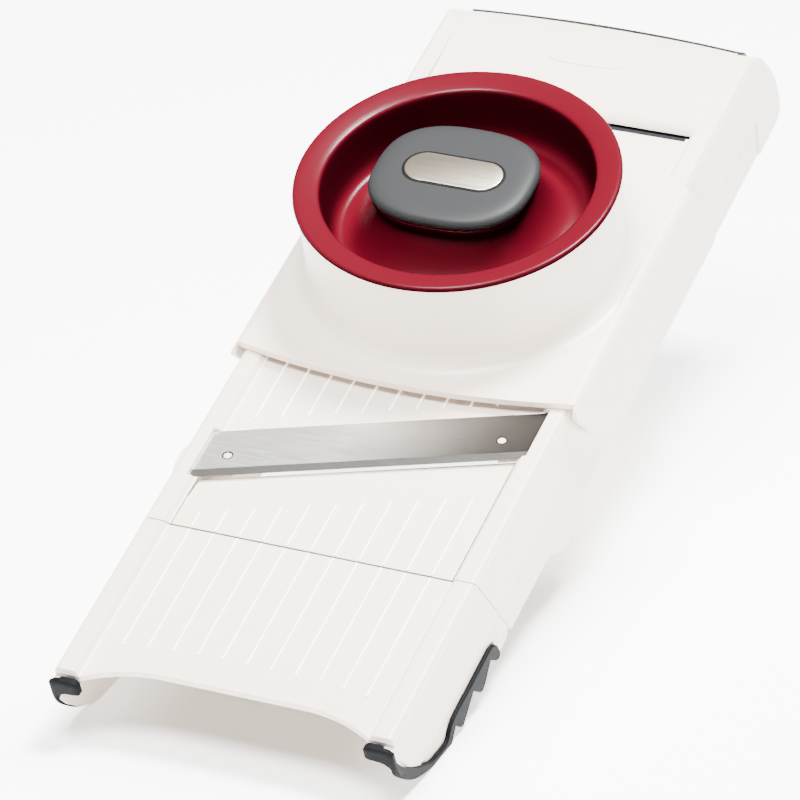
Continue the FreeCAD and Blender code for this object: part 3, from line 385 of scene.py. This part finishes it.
# The white wall behind the strip at the nose, as (y, z).
NOSE_WALL = [
    (-82.6, -1.5), (-82.4, -6.4), (-81.2, -11.8), (-78.2, -17.0), (-73.6, -22.6), (-69.0, -27.0), (-65.0, -29.8),
    (-61.0, -27.0), (-63.0, -14.0), (-72.0, -1.5),
]
WALL_LAYERS = ((63.4, 0.0), (64.9, 0.0))


def toe_cap(side, sign):
    """The dark band that wraps the nose of the front's side wall."""
    loops = []
    for i in range(CAP_COLUMNS + 1):
        x = CAP_IN + (CAP_OUT - CAP_IN) * i / CAP_COLUMNS
        top, low = between(CAP_TOP, x), between(CAP_LOW, x)
        tuck = END_TUCK.get(min(i, CAP_COLUMNS - i), 0.0)
        deep = CAP_DEEP if x < CAP_WALL_X else CAP_WALL_DEEP
        front, behind = [], []
        for j in range(CAP_ROWS + 1):
            z = top + (low - top) * j / CAP_ROWS
            soft = ROW_TUCK.get(min(j, CAP_ROWS - j), 0.0)
            front.append((sign * x, between(NOSE, z) - CAP_PROUD + max(tuck, soft), z))
            behind.append((sign * x, between(NOSE, z) + deep, z))
        loops.append(front + behind[::-1])
    return skin("toe_cap_" + side, loops, RUBBER, "front_section")


def wall_strip(name, sign, outline, layers, material):
    """A plate along the front's side wall, built up in layers across x."""
    loops = []
    for x, inset in layers:
        loop = []
        for i, (y, z) in enumerate(outline):
            (y0, z0), (y1, z1) = outline[i - 1], outline[(i + 1) % len(outline)]
            length = math.hypot(y1 - y0, z1 - z0) or 1.0
            loop.append((sign * x, y - inset * (z1 - z0) / length, z + inset * (y1 - y0) / length))
        loops.append(loop)
    return skin(name, loops, material, "front_section")


for side, sign in (("left", -1), ("right", 1)):
    cap = toe_cap(side, sign)
    edge = wall_strip("foot_edge_" + side, sign, SOLE + LINE, STRIP_LAYERS, RUBBER)
    wall_strip("foot_lining_" + side, sign, NOSE_WALL, WALL_LAYERS, WHITE)
    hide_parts("foot_grip_" + side)

# ------------------------------------------------------------------ pusher
ROUND = 2.0  # power of a round outline
SQUARISH = 2.6  # power of the knob's outline
RING_COUNT, OVAL_COUNT = 96, 72
# The cup as (radius, z): up inside the skirt, round its foot, up the outside, over the rim, down into the bowl.
CUP = [
    (51.7, 19.0), (51.7, 12.0), (51.9, 9.6), (52.4, 9.4), (56.4, 9.4), (56.9, 9.9), (56.9, 30.0), (56.9, 43.2),
    (57.3, 43.6), (61.6, 43.6), (62.2, 43.9), (62.5, 44.6), (62.4, 45.4), (62.0, 45.9), (61.4, 46.1), (60.6, 46.05),
    (58.0, 45.6), (55.5, 45.05), (53.6, 44.6), (52.8, 44.2), (52.35, 43.5), (52.1, 42.2), (51.7, 38.0), (51.2, 33.0),
    (50.7, 29.5), (49.9, 27.0), (48.6, 25.0), (46.8, 23.7),
]
FLOOR_R, FLOOR_Z = 46.8, 23.0  # edge of the bowl's floor
SWELL_X, SWELL_Y = 28.6, 24.6  # half widths of the swell under the knob
SWELL_RISE, SWELL_POWER, SWELL_DISH, SWELL_STEPS = 16.2, 2.4, 0.7, 14
SWELL_SHIFT = (-1.1, 0.4)
NECK = ((0.0, 40.6), (0.7, 41.0), (1.9, 41.1), (2.4, 41.5), (2.5, 42.0), (2.4, 42.9))  # growth and z
KNOB_X, KNOB_Y = 31.9, 27.2  # half widths
KNOB_SHIFT = (-1.2, 0.5)
# The knob's crown as (share of the half widths, z).
KNOB = (
    (0.93, 42.95), (0.965, 43.1), (0.988, 43.6), (0.998, 44.4), (1.0, 45.2), (0.994, 46.0), (0.978, 46.8),
    (0.953, 47.4), (0.915, 47.85), (0.86, 48.15), (0.78, 48.3), (0.66, 48.35),
)
OVAL_SHIFT = (-1.0, 0.2)
GROOVE_SIZE, GROOVE_LEVELS = (20.5, 8.9), ((0.5, 48.0), (0.0, 48.30), (0.0, 48.42), (0.35, 48.46))
BADGE_SIZE, BADGE_LEVELS = (19.5, 7.9), ((0.0, 48.1), (0.0, 48.62), (0.12, 48.76), (0.4, 48.85))


def ring(half_x, half_y, power, z, shift=(0.0, 0.0)):
    """A level loop about the pusher's axis."""
    x, y = shift
    return [(px, py, z) for px, py in superellipse(half_x, half_y, power, x, CARRIAGE_Y + y, RING_COUNT)]


def pusher_bowl():
    """The red pusher: skirt, flared rim, deep bowl and the swell that carries the knob."""
    loops = [ring(radius, radius, ROUND, z) for radius, z in CUP]
    for k in range(1, SWELL_STEPS + 1):
        t = k / SWELL_STEPS
        z = FLOOR_Z + SWELL_RISE * t ** SWELL_POWER + SWELL_DISH * (1 - t)
        half_x, half_y = FLOOR_R + (SWELL_X - FLOOR_R) * t, FLOOR_R + (SWELL_Y - FLOOR_R) * t
        shift = (SWELL_SHIFT[0] * t, SWELL_SHIFT[1] * t)
        loops.append(ring(half_x, half_y, ROUND + (SQUARISH - ROUND) * t, z, shift))
    loops += [ring(SWELL_X + grow, SWELL_Y + grow, SQUARISH, z, SWELL_SHIFT) for grow, z in NECK]
    return skin("pusher_bowl", loops, RED, "pusher")


def palm_knob():
    """The grey palm knob."""
    loops = [ring(KNOB_X * grow, KNOB_Y * grow, SQUARISH, z, KNOB_SHIFT) for grow, z in KNOB]
    return skin("palm_knob", loops, GREY, "pusher")


def oval(name, size, levels, material):
    """A long oval with round ends in the top of the knob; `levels` are (inset, z)."""
    loops = []
    for inset, z in levels:
        half_x, half_y = size[0] - inset, size[1] - inset
        loop = []
        for i in range(OVAL_COUNT):
            turn = 2 * math.pi * (i + 0.5) / OVAL_COUNT
            c, s = math.cos(turn), math.sin(turn)
            x = OVAL_SHIFT[0] + math.copysign(half_x - half_y, c) + half_y * c
            loop.append((x, CARRIAGE_Y + OVAL_SHIFT[1] + half_y * s, z))
        loops.append(loop)
    return skin(name, loops, material, "pusher")


bowl = pusher_bowl()
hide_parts("pusher_cup")
knob = palm_knob()
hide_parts("knob_cap")
oval("knob_groove", GROOVE_SIZE, GROOVE_LEVELS, NEAR_BLACK)
badge = oval("knob_oval", BADGE_SIZE, BADGE_LEVELS, BADGE)
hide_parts("knob_badge")

# ------------------------------------------------------------------ seams and small marks
# Height of the handle cover's top, as (y, z).
COVER = [(257, -3.4), (259.6, -1.1), (266, 0.25), (276, 1.6), (286, 2.2), (300, 1.9), (306, 0.9), (312, -2.2)]
MARK_X, MARK_Y, MARK_POWER, MARK_COUNT = 17.2, 6.6, 3.4, 64  # the outline on the cover
MARK_MIDDLE = (0.2, 288.7)
MARK_RISE, MARK_BEAD = 0.12, 0.34
# The right half of the folding joint's line as (x, y, z): deck, rail, shoulder and wall.
JOINT = [
    (0, 1.0, -0.3), (55.6, 1.0, -0.3), (58.1, 1.0, 2.3), (62.9, 1.0, 2.3), (64.7, 1.0, 1.0),
    (65.2, 1.3, -1.0), (65.25, 6.0, -10.0), (65.25, 12.1, -22.0),
]
JOINT_BEAD, RAMP_BEAD, GRIP_BEAD = 0.19, 0.15, 0.6
RAMP_SIDE, RAMP_NEAR, RAMP_SUNK = 55.55, 1.6, -0.12
RAMP_ENDS = (("left", -RAMP_SIDE, 25.5), ("right", RAMP_SIDE, 64.5))
GRIP_HALF, GRIP_Y, GRIP_BOW, GRIP_Z, GRIP_RISE = 57.5, 309.75, 4.5, -0.80, 1.5
GRIP_STOPS = range(-56, 57, 7)  # x
PEGS, PEG_Z, PEG_RING, PEG_BEAD = ((-49.0, 39.05), (47.0, 72.94)), 1.16, 1.86, 0.3
DIMPLES, DIMPLE_Z, DIMPLE_RING, DIMPLE_BEAD = ((-35.1, 41.9), (-2.5, 55.5), (32.9, 66.6)), 1.29, 3.1, 0.09
RING_POINTS = 28
SLOT_SHADE_HALF = 54.6
# A dark sheet in the handle's slot, as (y, z): partly the grey grip that shows there, partly painted shade under the
# cover's lip.
SLOT_GRIP_AND_SHADE = [
    (249.9, 0.04), (251.8, 0.06), (252.4, -1.6), (256.2, -4.2), (258.4, -6.5), (258.4, -9.5), (252.2, -9.5),
    (251.9, -0.4), (250.0, -0.2),
]


def cover_outline():
    """The plain raised outline on the handle cover."""
    line = superellipse(MARK_X, MARK_Y, MARK_POWER, *MARK_MIDDLE, MARK_COUNT)
    path = [(x, y, between(COVER, y) + MARK_RISE) for x, y in line]
    return thread("cover_oval", path, MARK_BEAD, WHITE, "frame", True)


def disc_ring(name, middle, z, radius, bead, material):
    """A fine round line on the blade."""
    path = [(x, y, z) for x, y in superellipse(radius, radius, ROUND, *middle, RING_POINTS)]
    return thread(name, path, bead, material, "frame", True, FINE_SIDES)


# A dark bead painted as the shade in the gap of the folding joint, over the rails and down both walls.
thread("joint_shade", [(-x, y, z) for x, y, z in JOINT[:0:-1]] + JOINT, JOINT_BEAD, SHADE_DARK, "frame")

# A dark bead painted as the shade in the gap beside the moving ramp, up to the cutting edge.
for side, x, end in RAMP_ENDS:
    path = [(x, y, RAMP_SUNK) for y in (RAMP_NEAR, end / 2, end)]
    thread("ramp_shade_" + side, path, RAMP_BEAD, SHADE_DARK, "frame")

# The grip's edge shows behind the cover, along its bowed back.
bow = [(x, (x / GRIP_HALF) ** 2) for x in GRIP_STOPS]
path = [(x, GRIP_Y - GRIP_BOW * t, GRIP_Z + GRIP_RISE * t) for x, t in bow]
thread("grip_edge", path, GRIP_BEAD, GREY, "frame")

cover_outline()
# Near-black rings painted as the shade in the gaps round the blade's pegs.
for number, middle in enumerate(PEGS):
    disc_ring(f"peg_gap_shade_{number}", middle, PEG_Z, PEG_RING, PEG_BEAD, NEAR_BLACK)
for number, middle in enumerate(DIMPLES):
    disc_ring(f"blade_dimple_{number}", middle, DIMPLE_Z, DIMPLE_RING, DIMPLE_BEAD, BLADE)
slot_sheet = [[(x, y, z) for y, z in SLOT_GRIP_AND_SHADE] for x in (-SLOT_SHADE_HALF, SLOT_SHADE_HALF)]
skin("slot_grip_and_shade", slot_sheet, SHADE_DARK, "frame")

# ------------------------------------------------------------------ stage
SKY = 0.55
SKY_LOW, SKY_LOW_AT, SKY_HIGH_AT = 0.22, 0.35, 1.0  # share of the light, and heights of the direction
HORIZON, HORIZON_FROM, HORIZON_TO = 2.4, 0.12, 0.16
SKY_COLOR = (1, 0.995, 0.985, 1)
FLOOR_HALF = 12.0
FLOOR_COLOR, FLOOR_ROUGH = (0.90, 0.895, 0.885, 1), 0.7
# The floor's glow away from the slicer, and the lower glow under its front that paints a soft shadow.
GLOW_UNDER, GLOW_AWAY = 0.10, 3.4
# Where the painted shadow falls: the slicer's front on the floor, middle and half width of each side, metres.
FOOTPRINT = (("X", 0.0, 0.056), ("Y", -0.110, 0.086))
FALL_FROM, FALL_TO = -0.03, 0.060
# Name, place, width and watts.
LAMPS = (
    ("back", (0.30, 0.28, 1.50), 0.45, 122),
    ("front", (-0.05, -0.60, 1.35), 0.6, 72),
    ("side", (1.5, -0.6, 0.7), 0.8, 2),
)
LAMP_AIM = Vector((0, 0, 0.06))
EYE, LOOK = (0.68187, -1.64124, 0.95185), (-0.34936, 0.82207, -0.44960)
LENS, SENSOR = 235.8, 36  # millimetres


def sky():
    """A bright tent: white overhead, darker low down, with a pale band along the horizon."""
    world = bpy.data.worlds.new("studio")
    world.use_nodes = True
    tree = world.node_tree
    height = split_up(tree, node(tree, "TexCoord").outputs["Generated"])["Z"]
    tent = remap(tree, height, SKY_LOW_AT, SKY_HIGH_AT, SKY_LOW, 1.0)
    band = remap(tree, height, HORIZON_FROM, HORIZON_TO, HORIZON, 0.0)
    background = tree.nodes["Background"].inputs
    feed(tree, reckon(tree, "MULTIPLY", reckon(tree, "ADD", tent, band), SKY), background["Strength"])
    background["Color"].default_value = SKY_COLOR
    bpy.context.scene.world = world


def shade(tree):
    """The floor's own glow, lowered to paint a soft shadow underneath the slicer's front."""
    place = split_up(tree, node(tree, "NewGeometry").outputs["Position"])
    away = []
    for axis, middle, half in FOOTPRINT:
        offset = reckon(tree, "ABSOLUTE", reckon(tree, "SUBTRACT", place[axis], middle))
        away.append(reckon(tree, "SUBTRACT", offset, half))
    far = reckon(tree, "MAXIMUM", *away)
    return remap(tree, far, FALL_FROM, FALL_TO, GLOW_UNDER, GLOW_AWAY, interpolation_type="SMOOTHSTEP")


def studio():
    """Floor, sky, lamps and camera."""
    s = FLOOR_HALF
    mesh = bpy.data.meshes.new("floor")
    mesh.from_pydata([(-s, -s, 0), (s, -s, 0), (s, s, 0), (-s, s, 0)], [], [(0, 1, 2, 3)])
    floor = link("floor", mesh)
    material, tree, shader = nodes_of("floor")
    shader.inputs["Base Color"].default_value = FLOOR_COLOR
    shader.inputs["Roughness"].default_value = FLOOR_ROUGH
    shader.inputs["Emission Color"].default_value = SKY_COLOR
    feed(tree, shade(tree), shader.inputs["Emission Strength"])
    mesh.materials.append(material)
    sky()
    for name, spot, width, watts in LAMPS:
        light = bpy.data.lights.new(name, "AREA")
        light.shape = "DISK"
        light.size = width
        light.energy = watts
        lamp = link(name, light)
        lamp.location = spot
        lamp.rotation_euler = (LAMP_AIM - Vector(spot)).to_track_quat("-Z", "Y").to_euler()
    camera = bpy.data.cameras.new("camera")
    camera.sensor_width = SENSOR
    camera.lens = LENS
    eye = link("camera", camera)
    forward = Vector(LOOK).normalized()
    right = forward.cross(Vector((0, 0, 1))).normalized()
    up = right.cross(forward)
    turn = Matrix((right, up, -forward)).transposed()
    eye.matrix_world = Matrix.Translation(EYE) @ turn.to_4x4()
    bpy.context.scene.camera = eye


studio()
